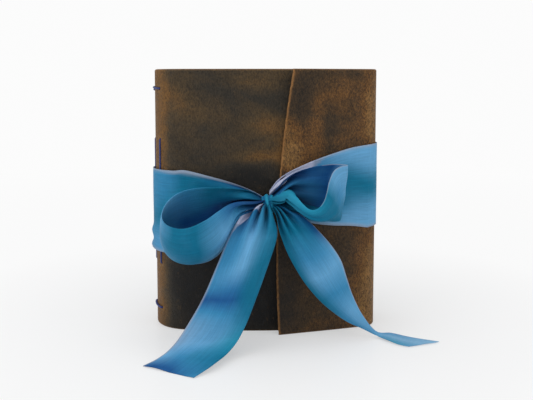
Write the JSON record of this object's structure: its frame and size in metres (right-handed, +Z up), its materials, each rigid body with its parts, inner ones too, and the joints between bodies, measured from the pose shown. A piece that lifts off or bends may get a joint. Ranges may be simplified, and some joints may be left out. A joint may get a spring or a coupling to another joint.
{
  "type": "leather journal",
  "caption": "Longstitched leather journal with a wraparound flap, standing upright and tied with a dyed silk ribbon in a bow.",
  "frame": {"origin": "middle of the tail edge of the cover, on the surface that the journal stands on", "axes": "+Z up along the spine, +X from the spine to the fore edge, -Y towards the front cover and the bow"},
  "size_m": [0.164, 0.117, 0.1524],
  "materials": {
    "leather": "waxed pull-up leather, worn at the folds",
    "paper": "uncoated cream paper",
    "thread": "waxed linen",
    "silk": "satin, unevenly dyed"
  },
  "bodies": {
    "root": {"leather_cover": "leather", "page_block": "paper", "sewing_thread": "thread", "ribbon": "silk"}
  },
  "joints": []
}
